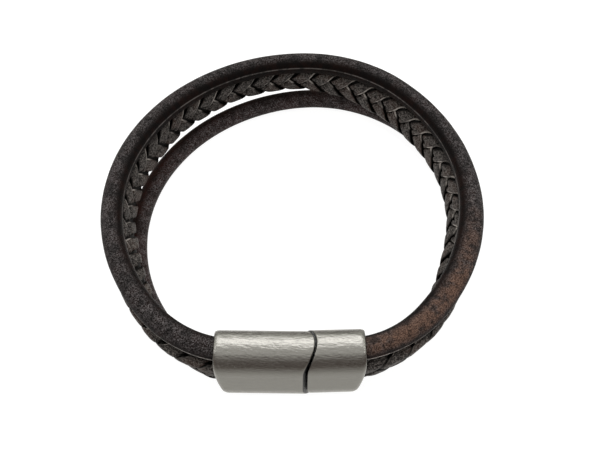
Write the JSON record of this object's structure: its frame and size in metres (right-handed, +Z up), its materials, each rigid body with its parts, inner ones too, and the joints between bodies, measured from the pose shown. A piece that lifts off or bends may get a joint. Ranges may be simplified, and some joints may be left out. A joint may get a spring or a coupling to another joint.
{
  "type": "leather bracelet with magnetic clasp",
  "caption": "Closed leather bracelet: round cords above and below a flat braided strap, glued into a split steel magnetic clasp, lying level with its wrist opening upright.",
  "frame": {"origin": "on the surface it lies on, below the middle of the whole bracelet's outline", "axes": "+Z straight up through the wrist opening, X along the clasp, -Y towards the clasp at the front"},
  "size_m": [0.0682, 0.07, 0.014],
  "materials": {
    "clasp_steel": "brushed",
    "magnet_nickel": "plated",
    "cord_dark": "smooth round leather cord, worn in places",
    "braid_leather": "plaited laces with light cut edges",
    "cord_brown": "smooth round leather cord"
  },
  "bodies": {
    "root": {"clasp_half_left": "clasp_steel", "clasp_half_right": "clasp_steel", "magnet_left": "magnet_nickel", "magnet_right": "magnet_nickel", "top_cord": "cord_dark", "braided_strap": "braid_leather", "bottom_cord": "cord_brown"}
  },
  "joints": []
}
